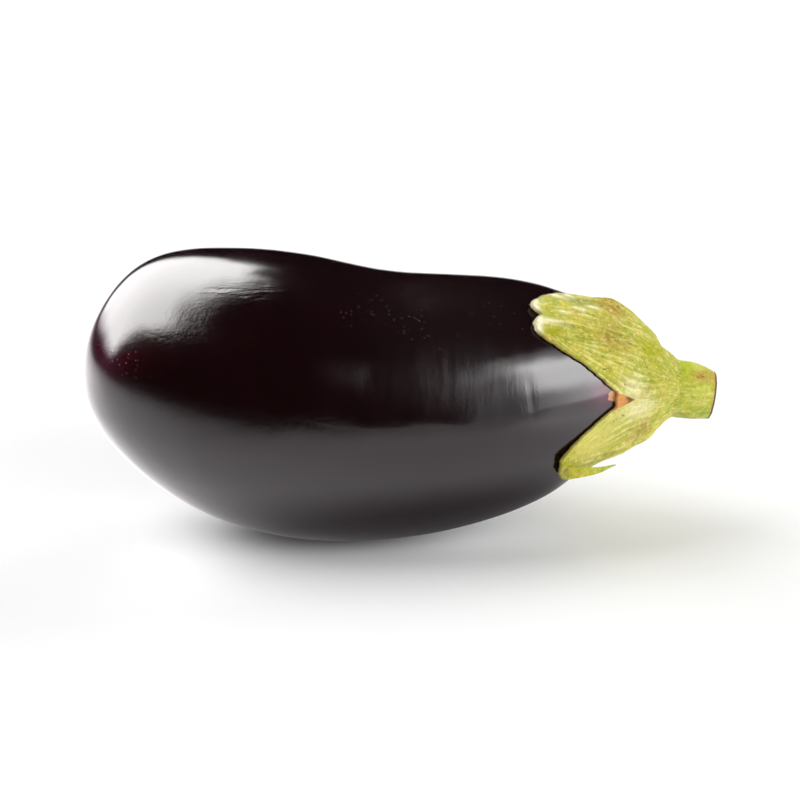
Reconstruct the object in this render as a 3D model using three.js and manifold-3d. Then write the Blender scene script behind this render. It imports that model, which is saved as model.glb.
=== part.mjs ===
// A purple eggplant lying on its side: the solid fruit, the lobed green calyx that clasps its
// stem end, and the stub of stem beyond it. Millimetres, +Z up, +X from the blossom end to the
// stem. The origin is the middle of the small flat spot that the fruit rests on.
import * as THREE from "three";
import { mergeVertices } from "three/addons/utils/BufferGeometryUtils.js";
import Module from "manifold-3d";

// ---- Driving dimensions ----

// The fruit is a row of round sections across a bent spine. A latitude runs along it, 0 degrees
// at the blossom pole and 180 at the stem pole. Heights and girths are Bezier control values,
// spread evenly from pole to pole. A radius is half the girth there times the latitude's sine.
const BLOSSOM_POLE_X = -82.8;
const STEM_POLE_X = 107.3;
const SPINE_HEIGHTS = [73.25, 58.75, 46.15, 26.35, 55.75, 54.35, 50.45];
const GIRTHS = [148.5, 71.5, 142, 73, 67.5, 114.5, 69, 77];
const FRUIT_RINGS = 44;
const FRUIT_SIDES = 56;
const BELOW = 300; // side of the block that is cut away under the table's plane

// Every piece stands this far off its neighbour.
const GAP = 0.3;

// The calyx's five sepals in order round the fruit. An angle runs round the spine, 0 degrees on
// top and 90 at the side y < 0. Each sepal has its tip, the valley between it and the next one,
// how its edge sweeps to either side (1 is straight, more is blunter), the angle where its keel
// leaves the stem, and how far its tip lifts off the fruit.
const SEPALS = [
  { tip: [25.7, 122.8], valley: [32.4, 124.6], sweep: [0.95, 1.5], keel: -15, lift: 1.3 },
  { tip: [40.1, 122.8], valley: [84.5, 143], sweep: [1.5, 0.92], keel: 60, lift: 1.1 },
  { tip: [118, 125.2], valley: [172, 143], sweep: [1.1, 2], keel: 137, lift: 2.2 },
  { tip: [204, 123.8], valley: [238, 142.5], sweep: [1.1, 1.2], keel: 200, lift: 0.8 },
  { tip: [272, 122.4], valley: [316, 144.2], sweep: [1.2, 1.1], keel: 274, lift: 1.6 },
];
const COLUMNS_PER_SIDE = [4, 22];
const COLUMN_SPACING = 2.6;
const CALYX_ROWS = 17;
const CALYX_UNDER_ROWS = 9;
const EDGE_THICKNESS = 0.8;
const BODY_THICKNESS = 1.9;
const EDGE_RUN = 0.12; // share of the way to the pole over which the edge thickens
const EDGE_WAVE = 0.5; // degrees of latitude by which a wide sepal's edge wavers
const EDGE_WAVES = 1.5; // along each side of a sepal
const WIDE_SIDE = 30;
const EDGE_BEND = { angle: 95, halfAngle: 8, latitude: 1.8 }; // a dip below the widest notch
const LIFT_ANGLE = 11;
const LIFT_LATITUDE = 6;

// A keel stands out of the middle of each sepal, and folds run beside it.
const KEEL_HEIGHT = 1.7;
const KEEL_ANGLE = 8;
const KEEL_PEAK = 0.345; // share of the way from tip to pole where the keel is highest
const KEEL_RUN = 0.11;
const KEEL_BEND = 4; // the higher, the closer to the tip a keel bends
const FOLD_HEIGHT = 0.32;
const FOLD_COUNT = 25;

// Two sepals are grown together near their tips, with a crease between and a hollow beside it.
const HOLLOW = { angle: 18.5, latitude: 131, halfAngle: 6, halfLatitude: 5, height: -1.2 };
const HOLLOW_BROW = { angle: 27, latitude: 131, halfAngle: 3, halfLatitude: 7, height: 0.8 };
const CREASE = { angle: 35, latitude: 127, halfAngle: 2.6, halfLatitude: 6, height: -0.8 };

// The third sepal is thin where it wraps under the fruit, and the fruit is flatter there.
const TUCK = { angle: 158, latitude: 135, halfAngle: 16, halfLatitude: 7, height: -1.4 };
const FLAT_SIDE = { angle: 162, latitude: 136, halfAngle: 28, halfLatitude: 8, height: -2 };

// The third sepal's tip curls back towards the stem as a thin tapering tongue.
const TONGUE_PATH = [
  [73.4, -28.2, 30.85],
  [72.2, -30.6, 31.25],
  [76, -31.6, 31.85],
  [82.9, -30.6, 32.65],
  [87.4, -29, 33.55],
];
const TONGUE_WIDTH = 4.8;
const TONGUE_TIP_WIDTH = 0.5;
const TONGUE_THICKNESS = 1.1;
const TONGUE_ACROSS = [0, 0.42, 0.91];
const TONGUE_RINGS = 14;
const TONGUE_SIDES = 10;

// The stem goes on along the end of the spine.
const NECK_RADIUS = 9.6;
const NECK_BLEND = 4; // the higher, the tighter the fillet between calyx and stem
const STEM_LENGTH = 12;
const STEM_CUT_RADIUS = 7.9;
const STEM_SWELL = 0.5;
const STEM_RIDGES = 5;
const STEM_RIDGE_HEIGHT = 0.28;
const CUT_BEVEL = 0.6;
const CUT_TILT = 1.5; // degrees that the cut leans past square
const STEM_RINGS = 9;
const STEM_SIDES = 30;

const PURPLE_SKIN = { color: 0x1a0b10, roughness: 0.18, metalness: 0 };
const GREEN_SEPAL = { color: 0xb9b65c, roughness: 0.62, metalness: 0 };
const GREEN_STEM = { color: 0xb0b84e, roughness: 0.6, metalness: 0 };

// ---- Curves ----

const radians = THREE.MathUtils.degToRad;

function bezier(values, t) {
  const row = [...values];
  for (let last = row.length - 1; last > 0; last--)
    for (let i = 0; i < last; i++) row[i] += (row[i + 1] - row[i]) * t;
  return row[0];
}

function bezierSlope(values, t) {
  const steps = values.slice(1).map((value, i) => (value - values[i]) * (values.length - 1));
  return bezier(steps, t);
}

// The spine at a latitude: its point, its direction and its pitch, with the section's radius
// and the angle at which the surface closes in.
function spineAt(latitude) {
  const psi = radians(latitude);
  const t = (1 - Math.cos(psi)) / 2;
  const tStep = Math.sin(psi) / 2;
  const length = STEM_POLE_X - BLOSSOM_POLE_X;
  const pitch = Math.atan2(bezierSlope(SPINE_HEIGHTS, t), length);
  const girth = bezier(GIRTHS, t);
  const radiusStep = (Math.cos(psi) * girth + Math.sin(psi) * bezierSlope(GIRTHS, t) * tStep) / 2;
  return {
    point: new THREE.Vector3(BLOSSOM_POLE_X + length * t, 0, bezier(SPINE_HEIGHTS, t)),
    along: new THREE.Vector3(Math.cos(pitch), 0, Math.sin(pitch)),
    pitch,
    radius: (Math.sin(psi) * girth) / 2,
    closing: Math.atan2(radiusStep, (length / Math.cos(pitch)) * tStep),
  };
}

function outward(pitch, angle) {
  const phi = radians(angle);
  return new THREE.Vector3(
    -Math.sin(pitch) * Math.cos(phi),
    -Math.sin(phi),
    Math.cos(pitch) * Math.cos(phi),
  );
}

// A point off the fruit's surface by a lift along its normal. A core radius rounds the surface
// out to a neck of that radius at the pole.
function fruitPoint(latitude, angle, lift = 0, core = 0) {
  const spine = spineAt(latitude);
  const radius = spine.radius + bump(FLAT_SIDE, angle, latitude);
  const reach = radius + lift * Math.cos(spine.closing);
  const rounded = (reach ** NECK_BLEND + core ** NECK_BLEND) ** (1 / NECK_BLEND);
  return spine.point
    .clone()
    .addScaledVector(outward(spine.pitch, angle), rounded)
    .addScaledVector(spine.along, -lift * Math.sin(spine.closing));
}

// ---- Solids ----

// One closed body from rings of equal length, closed by a point at either end.
function closedBody(start, rings, end) {
  const sides = rings[0].length;
  const points = [start, ...rings.flat(), end];
  const endIndex = points.length - 1;
  const at = (ring, side) => 1 + ring * sides + (side % sides);
  const faces = [];
  for (let side = 0; side < sides; side++) {
    faces.push(0, at(0, side + 1), at(0, side));
    for (let ring = 0; ring + 1 < rings.length; ring++) {
      faces.push(at(ring, side), at(ring, side + 1), at(ring + 1, side));
      faces.push(at(ring + 1, side), at(ring, side + 1), at(ring + 1, side + 1));
    }
    faces.push(endIndex, at(rings.length - 1, side), at(rings.length - 1, side + 1));
  }
  return new THREE.BufferGeometry().setFromPoints(points).setIndex(faces);
}

const wasm = await Module();
wasm.setup();

function toSolid(geometry) {
  const bare = geometry.clone();
  bare.deleteAttribute("normal");
  bare.deleteAttribute("uv");
  const merged = mergeVertices(bare);
  return new wasm.Manifold(
    new wasm.Mesh({
      numProp: 3,
      vertProperties: merged.attributes.position.array,
      triVerts: new Uint32Array(merged.index.array),
    }),
  );
}

function toGeometry(solid) {
  const mesh = solid.getMesh();
  const geometry = new THREE.BufferGeometry();
  geometry.setAttribute("position", new THREE.BufferAttribute(mesh.vertProperties, 3));
  geometry.setIndex(new THREE.BufferAttribute(mesh.triVerts, 1));
  return geometry;
}

function namedMesh(name, solid, finish) {
  const geometry = toGeometry(solid);
  geometry.computeVertexNormals();
  const mesh = new THREE.Mesh(geometry, new THREE.MeshStandardMaterial(finish));
  mesh.name = name;
  return mesh;
}

// ---- Fruit ----

function makeFruit() {
  const rings = [];
  for (let ring = 1; ring < FRUIT_RINGS; ring++) {
    const latitude = (180 * ring) / FRUIT_RINGS;
    const side = (_, i) => fruitPoint(latitude, (360 * i) / FRUIT_SIDES);
    rings.push(Array.from({ length: FRUIT_SIDES }, side));
  }
  const body = toSolid(closedBody(fruitPoint(0, 0), rings, fruitPoint(180, 0)));
  return body.subtract(belowTable());
}

// Everything under the table's plane, which cuts the flat resting spot.
function belowTable() {
  return toSolid(new THREE.BoxGeometry(BELOW, BELOW, BELOW).translate(0, 0, -BELOW / 2));
}

// ---- Calyx ----

function angleBetween(a, b) {
  return THREE.MathUtils.euclideanModulo(a - b + 180, 360) - 180;
}

// The calyx's edge as the columns round the fruit, each with its angle and its latitude.
function calyxEdge() {
  const columns = [];
  SEPALS.forEach((sepal, i) => {
    const before = SEPALS[(i + SEPALS.length - 1) % SEPALS.length].valley;
    addSide(columns, before, sepal.tip, sepal.sweep[0], true);
    addSide(columns, sepal.valley, sepal.tip, sepal.sweep[1], false);
  });
  return columns;
}

// One side of a sepal's edge, from the valley to the tip if rising, else from tip to valley.
function addSide(columns, valley, tip, sweep, rising) {
  const span = angleBetween(valley[0], tip[0]);
  const waver = EDGE_WAVE * Math.min(1, Math.abs(span) / WIDE_SIDE) ** 2;
  const count = THREE.MathUtils.clamp(
    Math.round(Math.abs(span) / COLUMN_SPACING),
    ...COLUMNS_PER_SIDE,
  );
  for (let i = 0; i < count; i++) {
    const away = rising ? 1 - i / count : i / count;
    const wave = waver * Math.sin(2 * Math.PI * EDGE_WAVES * away);
    const angle = tip[0] + span * away;
    columns.push({
      angle,
      latitude: tip[1] + (valley[1] - tip[1]) * away ** sweep - wave + edgeBend(angle),
    });
  }
}

function edgeBend(angle) {
  const u = angleBetween(angle, EDGE_BEND.angle) / EDGE_BEND.halfAngle;
  return EDGE_BEND.latitude * Math.exp(-u * u);
}

function bump(feature, angle, latitude) {
  const u = angleBetween(angle, feature.angle) / feature.halfAngle;
  const v = (latitude - feature.latitude) / feature.halfLatitude;
  return feature.height * Math.exp(-u * u - v * v);
}

// The keel's height on a sepal. Its line runs from the root angle and bends to the tip.
function keelHeight(sepal, angle, latitude) {
  const way = Math.max(0, (latitude - sepal.tip[1]) / (180 - sepal.tip[1]));
  const bend = angleBetween(sepal.tip[0], sepal.keel) * (1 - way) ** KEEL_BEND;
  const off = angleBetween(angle, sepal.keel + bend) / KEEL_ANGLE;
  const run = (way - KEEL_PEAK) / KEEL_RUN;
  return KEEL_HEIGHT * Math.exp(-run * run - off * off);
}

function liftAt(angle, latitude) {
  const tipLift = (sepal) => {
    const u = angleBetween(angle, sepal.tip[0]) / LIFT_ANGLE;
    const v = (latitude - sepal.tip[1]) / LIFT_LATITUDE;
    return sepal.lift * Math.exp(-u * u - Math.max(0, v) ** 2);
  };
  return SEPALS.reduce((sum, sepal) => sum + tipLift(sepal), 0);
}

// How thick the calyx is at a place, with its share of the way from the edge to the pole.
function thicknessAt(angle, latitude, way) {
  const body = BODY_THICKNESS - (BODY_THICKNESS - EDGE_THICKNESS) * Math.exp(-way / EDGE_RUN);
  const keels = SEPALS.reduce((sum, sepal) => sum + keelHeight(sepal, angle, latitude), 0);
  const folds = FOLD_HEIGHT * Math.cos(radians(angle * FOLD_COUNT));
  const features = [HOLLOW, HOLLOW_BROW, CREASE, TUCK];
  const marks = features.reduce((sum, feature) => sum + bump(feature, angle, latitude), 0);
  const inside = 1 - Math.exp(-way / EDGE_RUN);
  return body + (keels + marks) * inside + folds * inside * (1 - way) ** 2;
}

function calyxRow(edge, way, outside) {
  return edge.map((column) => {
    const latitude = column.latitude + (180 - column.latitude) * way;
    const lift = GAP + liftAt(column.angle, latitude);
    if (!outside) return fruitPoint(latitude, column.angle, lift);
    const thickness = thicknessAt(column.angle, latitude, way);
    return fruitPoint(latitude, column.angle, lift + thickness, NECK_RADIUS);
  });
}

function makeCalyx() {
  const edge = calyxEdge();
  const under = Array.from({ length: CALYX_UNDER_ROWS }, (_, i) =>
    calyxRow(edge, 1 - (i + 1) / CALYX_UNDER_ROWS, false),
  );
  const over = Array.from({ length: CALYX_ROWS }, (_, i) =>
    calyxRow(edge, i / (CALYX_ROWS - 1), true),
  );
  const innerPole = fruitPoint(180, 0, GAP);
  const neck = fruitPoint(180, 0, GAP + BODY_THICKNESS);
  const cap = toSolid(closedBody(innerPole, [...under, ...over], neck));
  return cap.add(makeTongue());
}

function makeTongue() {
  const path = new THREE.CatmullRomCurve3(TONGUE_PATH.map((p) => new THREE.Vector3(...p)));
  const rings = [];
  for (let i = 0; i < TONGUE_RINGS; i++) {
    const u = i / (TONGUE_RINGS - 1);
    const along = path.getTangentAt(u);
    const across = new THREE.Vector3(...TONGUE_ACROSS);
    across.addScaledVector(along, -along.dot(across)).normalize();
    const flat = new THREE.Vector3().crossVectors(along, across);
    const width = THREE.MathUtils.lerp(TONGUE_WIDTH, TONGUE_TIP_WIDTH, u);
    const thickness = THREE.MathUtils.lerp(TONGUE_THICKNESS, TONGUE_TIP_WIDTH, u);
    rings.push(ellipse(path.getPointAt(u), across, flat, width / 2, thickness / 2));
  }
  return toSolid(closedBody(path.getPointAt(0), rings, path.getPointAt(1)));
}

function ellipse(centre, across, flat, halfWidth, halfThickness) {
  return Array.from({ length: TONGUE_SIDES }, (_, i) => {
    const turn = (2 * Math.PI * i) / TONGUE_SIDES;
    return centre
      .clone()
      .addScaledVector(across, Math.cos(turn) * halfWidth)
      .addScaledVector(flat, Math.sin(turn) * halfThickness);
  });
}

// ---- Stem ----

function stemRing(base, u, radius) {
  const lean = Math.tan(radians(CUT_TILT)) * u;
  return Array.from({ length: STEM_SIDES }, (_, i) => {
    const angle = (360 * i) / STEM_SIDES;
    const ridges = STEM_RIDGE_HEIGHT * Math.sin(Math.PI * u) * Math.cos(radians(angle * STEM_RIDGES));
    const reach = radius + ridges;
    return base.point
      .clone()
      .addScaledVector(base.along, STEM_LENGTH * u + reach * Math.cos(radians(angle)) * lean)
      .addScaledVector(outward(base.pitch, angle), reach);
  });
}

function makeStem() {
  const base = spineAt(180);
  base.point.addScaledVector(base.along, 2 * GAP + BODY_THICKNESS);
  const rings = [];
  for (let i = 0; i < STEM_RINGS; i++) {
    const u = i / (STEM_RINGS - 1);
    const taper = THREE.MathUtils.lerp(NECK_RADIUS, STEM_CUT_RADIUS, u);
    const bevel = i === STEM_RINGS - 1 ? CUT_BEVEL : 0;
    rings.push(stemRing(base, u, taper + STEM_SWELL * Math.sin(Math.PI * u) - bevel));
  }
  const cutCentre = base.point.clone().addScaledVector(base.along, STEM_LENGTH);
  return toSolid(closedBody(base.point, rings, cutCentre));
}

const eggplant = new THREE.Group();
eggplant.add(namedMesh("fruit", makeFruit(), PURPLE_SKIN));
eggplant.add(namedMesh("calyx", makeCalyx(), GREEN_SEPAL));
eggplant.add(namedMesh("stem", makeStem(), GREEN_STEM));

export default eggplant;
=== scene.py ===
"""The looks of the eggplant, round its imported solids. Metres, +Z up, +X towards the stem.

The skin, the calyx and the stem are remade finely from the part's own driving values, each in
place of its plain solid. A latitude runs along the fruit, 0 degrees at the blossom pole and 180
at the stem pole. An angle runs round it, 0 degrees on top and 90 at the side y < 0.
"""

import math

import bpy
import numpy as np
from mathutils import Matrix, Vector


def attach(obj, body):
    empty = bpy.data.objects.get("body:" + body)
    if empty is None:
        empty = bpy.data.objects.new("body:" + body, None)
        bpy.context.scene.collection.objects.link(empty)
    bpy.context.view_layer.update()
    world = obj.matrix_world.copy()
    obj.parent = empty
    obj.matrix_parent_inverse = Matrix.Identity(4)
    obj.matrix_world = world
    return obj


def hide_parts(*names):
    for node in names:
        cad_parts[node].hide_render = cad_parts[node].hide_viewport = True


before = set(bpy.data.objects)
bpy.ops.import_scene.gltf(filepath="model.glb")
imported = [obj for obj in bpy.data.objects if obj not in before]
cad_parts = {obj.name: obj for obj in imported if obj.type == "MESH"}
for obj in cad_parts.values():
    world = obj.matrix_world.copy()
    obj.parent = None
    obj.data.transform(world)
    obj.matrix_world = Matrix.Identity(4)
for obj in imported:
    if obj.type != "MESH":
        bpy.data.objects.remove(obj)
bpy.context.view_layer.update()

MM = 0.001

# ---- The part's driving values, in millimetres and degrees ----

BLOSSOM_POLE_X = -82.8
STEM_POLE_X = 107.3
SPINE_HEIGHTS = [73.25, 58.75, 46.15, 26.35, 55.75, 54.35, 50.45]
GIRTHS = [148.5, 71.5, 142, 73, 67.5, 114.5, 69, 77]
GAP = 0.3

SEPALS = [
    dict(tip=(25.7, 122.8), valley=(32.4, 124.6), sweep=(0.85, 1.5), keel=-15, lift=0.9),
    dict(tip=(40.1, 122.8), valley=(84.5, 145.5), sweep=(1.5, 1.0), keel=60, lift=0.8),
    dict(tip=(118, 125.2), valley=(172, 143), sweep=(1.1, 2), keel=137, lift=1.8),
    dict(tip=(204, 123.8), valley=(238, 142.5), sweep=(1.1, 1.2), keel=200, lift=0.8),
    dict(tip=(272, 122.4), valley=(316, 144.2), sweep=(1.2, 1.1), keel=274, lift=1.6),
]
EDGE_THICKNESS = 0.8
BODY_THICKNESS = 1.9
EDGE_RUN = 0.12
EDGE_WAVE = 0.5
EDGE_WAVES = 1.5
WIDE_SIDE = 30
NOTCH_END = 141.9  # the latitude that cuts the widest notch off bluntly
EDGE_BEND = (92.5, 0, 4, 1, 1.0)  # a dip of 1 degree of the edge, below the widest notch
LIFT_ANGLE = 11
LIFT_LATITUDE = 6
KEEL_HEIGHT = 1.7
KEEL_ANGLE = 8
KEEL_PEAK = 0.345
KEEL_RUN = 0.11
KEEL_BEND = 4

# Raised or sunken places: angle, latitude, half widths in both, and height.
HOLLOW = (14, 131.3, 6, 4, -1.2)
CREASE = (35, 127, 2.6, 6, -0.8)
TUCK = (158, 135, 16, 7, -1.4)
FLAT_SIDE = (162, 136, 28, 8, -2)
SHOULDER_DIP = (-6, 131.5, 16, 5.5, -0.8)

TONGUE_PATH = [
    (73.4, -28.2, 30.85), (72.2, -30.6, 31.25), (76, -31.6, 31.85), (82.9, -30.6, 32.65),
    (87.4, -29, 33.55),
]
TONGUE_WIDTH = 4.8
TONGUE_TIP_WIDTH = 0.5
TONGUE_THICKNESS = 1.1
TONGUE_ACROSS = np.array((0, 0.42, 0.91))

NECK_RADIUS = 9.6
NECK_BLEND = 4
STEM_LENGTH = 12
STEM_CUT_RADIUS = 7.7
STEM_SWELL = 0.5
STEM_RIDGES = 5
STEM_RIDGE_HEIGHT = 0.28
CUT_BEVEL = 0.6
CUT_TILT = 1.5


# ---- Node trees ----


def operator(operation, swapped=False):
    """A wire's method that adds a Math node of one operation."""

    def method(self, other):
        values = (other, self) if swapped else (self, other)
        return self.nodes.math(operation, *values)

    return method


class Wire:
    """A socket that takes part in arithmetic: each operator adds a Math node to its tree."""

    def __init__(self, nodes, socket):
        self.nodes = nodes
        self.socket = socket

    __add__ = __radd__ = operator("ADD")
    __sub__ = operator("SUBTRACT")
    __rsub__ = operator("SUBTRACT", swapped=True)
    __mul__ = __rmul__ = operator("MULTIPLY")
    __truediv__ = operator("DIVIDE")
    __rtruediv__ = operator("DIVIDE", swapped=True)

    def clamp(self):
        return self.nodes.node("ShaderNodeClamp", {0: self})

    def step(self, start, end):
        """0 at start, 1 at end, and a smooth change between. The start may be the larger."""
        low, high = sorted((start, end))
        sockets = {"Value": self, "From Min": low, "From Max": high}
        rise = self.nodes.node("ShaderNodeMapRange", sockets, interpolation_type="SMOOTHSTEP")
        return rise if start < end else 1 - rise


class Nodes:
    """Adds nodes to one tree and hands back their outputs as wires."""

    def __init__(self, tree):
        self.tree = tree

    def plug(self, value, socket):
        """Links a wire to a socket, or sets the socket to a plain value."""
        if isinstance(value, Wire):
            self.tree.links.new(value.socket, socket)
        else:
            socket.default_value = value

    def node(self, kind, sockets=None, output=0, **settings):
        """A node of a type, its settings first, then its sockets' values or links."""
        made = self.tree.nodes.new(kind)
        for name, value in settings.items():
            setattr(made, name, value)
        for key, value in (sockets or {}).items():
            self.plug(value, self.pick(made.inputs, key))
        return Wire(self, self.pick(made.outputs, output))

    @staticmethod
    def pick(sockets, key):
        """A socket by its place, or the first one in use by its name."""
        if isinstance(key, int):
            return sockets[key]
        return next(s for s in sockets if s.name == key and s.enabled)

    def math(self, operation, *values):
        return self.node("ShaderNodeMath", dict(enumerate(values)), operation=operation)

    def bell(self, *offsets):
        """1 where every offset is 0, and falling away as they grow."""
        total = sum(offset * offset for offset in offsets)
        return self.math("EXPONENT", total * -1)

    def near(self, place, centre, reach, strength=1):
        """A strength at a centre in millimetres, falling away over a reach in each direction."""
        offsets = [(p - c * MM) * (1 / (r * MM)) for p, c, r in zip(place, centre, reach)]
        return self.bell(*offsets) * strength

    def spots(self, place, spots):
        return sum(self.near(place, *spot) for spot in spots)

    def layers(self, hue, *layers):
        """A colour under layers of others, each with its share from 0 to 1."""
        for share, layer in layers:
            sockets = {"Factor": share, "A": hue, "B": layer}
            hue = self.node("ShaderNodeMix", sockets, "Result", data_type="RGBA")
        return hue

    def split(self, vector):
        made = self.node("ShaderNodeSeparateXYZ", {0: vector}).socket.node
        return [Wire(self, socket) for socket in made.outputs]

    def join(self, x, y, z):
        return self.node("ShaderNodeCombineXYZ", {0: x, 1: y, 2: z})

    def noise(self, vector, scale, detail=2, rough=0.5):
        """Noise of one scale, or of a scale along each axis."""
        if isinstance(scale, tuple):
            sockets = {0: vector, 1: scale}
            vector = self.node("ShaderNodeVectorMath", sockets, operation="MULTIPLY")
            scale = 1
        sockets = {"Vector": vector, "Scale": scale, "Detail": detail, "Roughness": rough}
        return self.node("ShaderNodeTexNoise", sockets)

    def kept(self, name):
        """A number that was stored on the piece's points."""
        return self.node("ShaderNodeAttribute", output="Fac", attribute_name=name)

    def relief(self, height, depth):
        """A bump of a height from 0 to 1, with its depth in millimetres."""
        return self.node("ShaderNodeBump", {"Distance": depth * MM, "Height": height})

    def feed(self, node="Principled BSDF", **sockets):
        """Sets or links a named node's sockets; an underscore stands for a space."""
        for name, value in sockets.items():
            self.plug(value, self.tree.nodes[node].inputs[name.replace("_", " ")])


def new_material(name):
    """A material, its nodes, which end in its shader, and the place on its piece."""
    made = bpy.data.materials.new(name)
    made.use_nodes = True
    nodes = Nodes(made.node_tree)
    return made, nodes, nodes.node("ShaderNodeTexCoord", output="Object")


def colour(*screen):
    """A node's colour from screen values of 0 to 255."""
    shares = [value / 255 for value in screen]
    return (*(s / 12.92 if s <= 0.04045 else ((s + 0.055) / 1.055) ** 2.4 for s in shares), 1.0)


# ---- Curves of the fruit ----


def curve(values, t, scale=1):
    """A Bezier curve's value, scaled, at an array of t or at a wire."""
    powers = []
    row = values
    for power in range(len(values)):
        powers.append(row[0] * math.comb(len(values) - 1, power) * scale)
        row = [b - a for a, b in zip(row, row[1:])]
    total = powers.pop()
    while powers:
        total = total * t + powers.pop()
    return total


def slopes(values):
    """The control values of a Bezier curve's slope."""
    return [(b - a) * (len(values) - 1) for a, b in zip(values, values[1:])]


def angle_between(a, b):
    return (a - b + 180) % 360 - 180


def bump(feature, angle, latitude):
    at_angle, at_latitude, half_angle, half_latitude, height = feature
    u = angle_between(angle, at_angle) / half_angle
    v = (latitude - at_latitude) / half_latitude
    return height * np.exp(-u * u - v * v)


def waves(kinds, phi, psi=0):
    """A sum of waves: each one's size, how often it goes round and along, and its start."""
    return sum(size * np.sin(a * phi + b * psi + start) for size, a, b, start in kinds)


def spine_at(latitude):
    """The spine's point, direction, pitch, radius and closing angle at latitudes."""
    psi = np.radians(latitude)
    t = (1 - np.cos(psi)) / 2
    t_step = np.sin(psi) / 2
    length = STEM_POLE_X - BLOSSOM_POLE_X
    pitch = np.arctan2(curve(slopes(SPINE_HEIGHTS), t), length)
    girth = curve(GIRTHS, t)
    radius_step = (np.cos(psi) * girth + np.sin(psi) * curve(slopes(GIRTHS), t) * t_step) / 2
    zero = 0 * t
    return dict(
        point=np.stack([BLOSSOM_POLE_X + length * t, zero, curve(SPINE_HEIGHTS, t)], -1),
        along=np.stack([np.cos(pitch), zero, np.sin(pitch)], -1),
        pitch=pitch,
        radius=np.sin(psi) * girth / 2,
        closing=np.arctan2(radius_step, length / np.cos(pitch) * t_step),
    )


def outward(pitch, angle):
    phi = np.radians(angle)
    parts = [-np.sin(pitch) * np.cos(phi), -np.sin(phi) + 0 * pitch, np.cos(pitch) * np.cos(phi)]
    return np.stack(parts, -1)


def fruit_point(latitude, angle, lift=0.0, core=0.0):
    """Points off the fruit by a lift along its normal, rounded out to a neck at the pole."""
    latitude, angle = np.broadcast_arrays(np.asarray(latitude, float), angle)
    spine = spine_at(latitude)
    dips = bump(FLAT_SIDE, angle, latitude) + bump(SHOULDER_DIP, angle, latitude)
    reach = spine["radius"] + dips + lift * np.cos(spine["closing"])
    rounded = (np.abs(reach) ** NECK_BLEND + core**NECK_BLEND) ** (1 / NECK_BLEND)
    slide = -lift * np.sin(spine["closing"])
    return (
        spine["point"]
        + outward(spine["pitch"], angle) * rounded[..., None]
        + spine["along"] * slide[..., None]
    )


# ---- Meshes ----


def place_object(name, data):
    made = bpy.data.objects.new(name, data)
    bpy.context.scene.collection.objects.link(made)
    return made


def mesh_object(name, points, faces, material):
    """A smooth mesh object from points in millimetres."""
    mesh = bpy.data.meshes.new(name)
    mesh.from_pydata((np.asarray(points) * MM).tolist(), [], faces)
    mesh.polygons.foreach_set("use_smooth", [True] * len(faces))
    mesh.materials.append(material)
    return place_object(name, mesh)


def closed_body(start, rings, end, first=0):
    """A closed body's points and faces, numbered from the first: a start, rings and an end."""
    count, sides = rings.shape[:2]

    def at(ring, side):
        return first + 1 + ring * sides + side % sides

    last = first + 1 + count * sides
    faces = []
    for side in range(sides):
        faces.append((first, at(0, side + 1), at(0, side)))
        for ring in range(count - 1):
            a, b = at(ring, side), at(ring, side + 1)
            faces.append((a, b, at(ring + 1, side + 1), at(ring + 1, side)))
        faces.append((last, at(count - 1, side), at(count - 1, side + 1)))
    return np.concatenate([start[None], rings.reshape(-1, 3), end[None]]), faces


def store(mesh, name, values):
    """Keeps one number for each point of a mesh, for its material to read."""
    attribute = mesh.attributes.new(name, "FLOAT", "POINT")
    attribute.data.foreach_set("value", np.asarray(values, np.float32))


# ---- Geometry trees ----


def new_tree(name, sizes):
    """A tree with a mesh and named sizes as its inputs: its nodes, and its inputs' wires."""
    tree = bpy.data.node_groups.new(name, "GeometryNodeTree")
    mesh = {"name": "Geometry", "socket_type": "NodeSocketGeometry"}
    tree.interface.new_socket(in_out="INPUT", **mesh)
    tree.interface.new_socket(in_out="OUTPUT", **mesh)
    for size, value in sizes.items():
        kind = "NodeSocketInt" if isinstance(value, int) else "NodeSocketFloat"
        tree.interface.new_socket(name=size, in_out="INPUT", socket_type=kind)
    nodes = Nodes(tree)
    given = tree.nodes.new("NodeGroupInput").outputs
    return nodes, {socket.name: Wire(nodes, socket) for socket in given}


def finish_tree(nodes, geometry, material):
    """Ends a tree: smooth faces, real geometry and its material."""
    smooth = nodes.node("GeometryNodeSetShadeSmooth", {"Geometry": geometry})
    real = nodes.node("GeometryNodeRealizeInstances", {"Geometry": smooth})
    sockets = {"Geometry": real, "Material": material}
    nodes.tree.nodes.new("NodeGroupOutput")
    nodes.feed("Group Output", Geometry=nodes.node("GeometryNodeSetMaterial", sockets))


def grow(name, mesh, nodes, sizes):
    """Runs a tree on a mesh and keeps the result as a plain mesh object."""
    holder = place_object(name, mesh)
    modifier = holder.modifiers.new("form", "NODES")
    modifier.node_group = nodes.tree
    for item in nodes.tree.interface.items_tree:
        if item.name in sizes:
            modifier[item.identifier] = sizes[item.name]
    evaluated = holder.evaluated_get(bpy.context.evaluated_depsgraph_get())
    grown = bpy.data.meshes.new_from_object(evaluated)
    holder.modifiers.clear()
    holder.data = grown
    return holder


def keep_field(nodes, geometry, name, value):
    sockets = {"Geometry": geometry, "Name": name, "Value": value}
    return nodes.node("GeometryNodeStoreNamedAttribute", sockets)


def kept_field(nodes, name):
    return nodes.node("GeometryNodeInputNamedAttribute", {"Name": name}, "Attribute")


def set_points(nodes, geometry, **sockets):
    """Moves the points of a geometry to a Position, or by an Offset."""
    return nodes.node("GeometryNodeSetPosition", {"Geometry": geometry, **sockets})


# ---- Skin ----

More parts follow.
